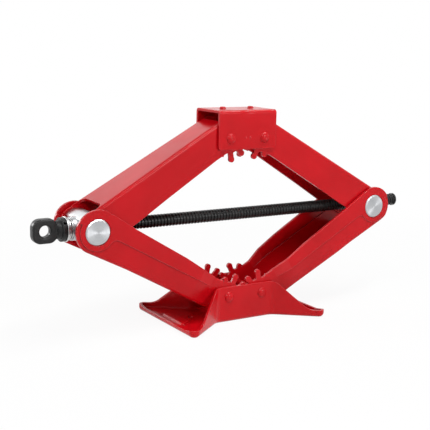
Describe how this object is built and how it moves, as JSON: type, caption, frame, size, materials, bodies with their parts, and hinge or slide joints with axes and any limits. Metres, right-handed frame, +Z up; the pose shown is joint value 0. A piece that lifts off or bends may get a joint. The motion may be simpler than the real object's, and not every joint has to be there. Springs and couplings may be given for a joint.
{
  "type": "scissor jack",
  "caption": "Scissor jack with four pressed channel arms, gear-toothed at base and saddle, worked by a lead screw between two trunnions.",
  "frame": {"origin": "on the ground, in the base's bottom face midway between the two lower gear pivots", "axes": "+X along the lead screw away from the drive eye, +Y to the back, +Z up"},
  "size_m": [0.4864, 0.1268, 0.241],
  "materials": {
    "red_enamel": "gloss",
    "zinc_plate": "turned, satin",
    "black_oxide": "satin",
    "brass_cage": "satin",
    "bearing_steel": "polished"
  },
  "bodies": {
    "base": {"base": "red_enamel", "base_left_pivot_pin": "red_enamel", "base_right_pivot_pin": "red_enamel"},
    "lower_left_arm": {"lower_left_arm": "red_enamel"},
    "bearing_trunnion": {"bearing_trunnion": "zinc_plate", "thrust_washer_back": "zinc_plate", "ball_cage": "brass_cage", "bearing_balls": "bearing_steel"},
    "upper_left_arm": {"upper_left_arm": "red_enamel"},
    "saddle": {"saddle": "red_enamel", "saddle_left_pivot_pin": "red_enamel", "saddle_right_pivot_pin": "red_enamel"},
    "upper_right_arm": {"upper_right_arm": "red_enamel"},
    "lower_right_arm": {"lower_right_arm": "red_enamel"},
    "nut_trunnion": {"nut_trunnion": "zinc_plate"},
    "screw": {"lead_screw": "black_oxide", "drive_eye": "black_oxide", "drive_eye_roll_pin": "black_oxide", "thrust_washer_front": "zinc_plate", "screw_end_stop": "black_oxide"}
  },
  "joints": [
    {"name": "lower_left_arm_raise", "type": "hinge", "parent": "base", "child": "lower_left_arm", "pos_m": [-0.0223, 0, 0.0294], "axis": [0, 1, 0], "range_deg": [-19.8, 33.2]},
    {"name": "bearing_trunnion_turn", "type": "hinge", "parent": "lower_left_arm", "child": "bearing_trunnion", "pos_m": [-0.18442, 0, 0.11852], "axis": [0, 1, 0], "range_deg": [-33.2, 19.8]},
    {"name": "upper_left_arm_raise", "type": "hinge", "parent": "bearing_trunnion", "child": "upper_left_arm", "pos_m": [-0.18442, 0, 0.11852], "axis": [0, 1, 0], "range_deg": [-33.2, 19.8]},
    {"name": "saddle_level", "type": "hinge", "parent": "upper_left_arm", "child": "saddle", "pos_m": [-0.0223, 0, 0.20765], "axis": [0, 1, 0], "range_deg": [-19.8, 33.2]},
    {"name": "upper_right_arm_raise", "type": "hinge", "parent": "saddle", "child": "upper_right_arm", "pos_m": [0.0223, 0, 0.20765], "axis": [0, 1, 0], "range_deg": [-19.8, 33.2]},
    {"name": "lower_right_arm_raise", "type": "hinge", "parent": "base", "child": "lower_right_arm", "pos_m": [0.0223, 0, 0.0294], "axis": [0, 1, 0], "range_deg": [-33.2, 19.8]},
    {"name": "nut_trunnion_turn", "type": "hinge", "parent": "lower_right_arm", "child": "nut_trunnion", "pos_m": [0.18442, 0, 0.11852], "axis": [0, 1, 0], "range_deg": [-19.8, 33.2]},
    {"name": "screw_spin", "type": "hinge", "parent": "bearing_trunnion", "child": "screw", "pos_m": [-0.18442, 0, 0.11852], "axis": [1, 0, 0], "continuous": true}
  ],
  "couplings": [
    {"joint": "bearing_trunnion_turn", "follows": "lower_left_arm_raise", "ratio": -1},
    {"joint": "upper_left_arm_raise", "follows": "lower_left_arm_raise", "ratio": -1},
    {"joint": "saddle_level", "follows": "lower_left_arm_raise", "ratio": 1},
    {"joint": "upper_right_arm_raise", "follows": "lower_left_arm_raise", "ratio": 1},
    {"joint": "lower_right_arm_raise", "follows": "lower_left_arm_raise", "ratio": -1},
    {"joint": "nut_trunnion_turn", "follows": "lower_left_arm_raise", "ratio": 1}
  ]
}
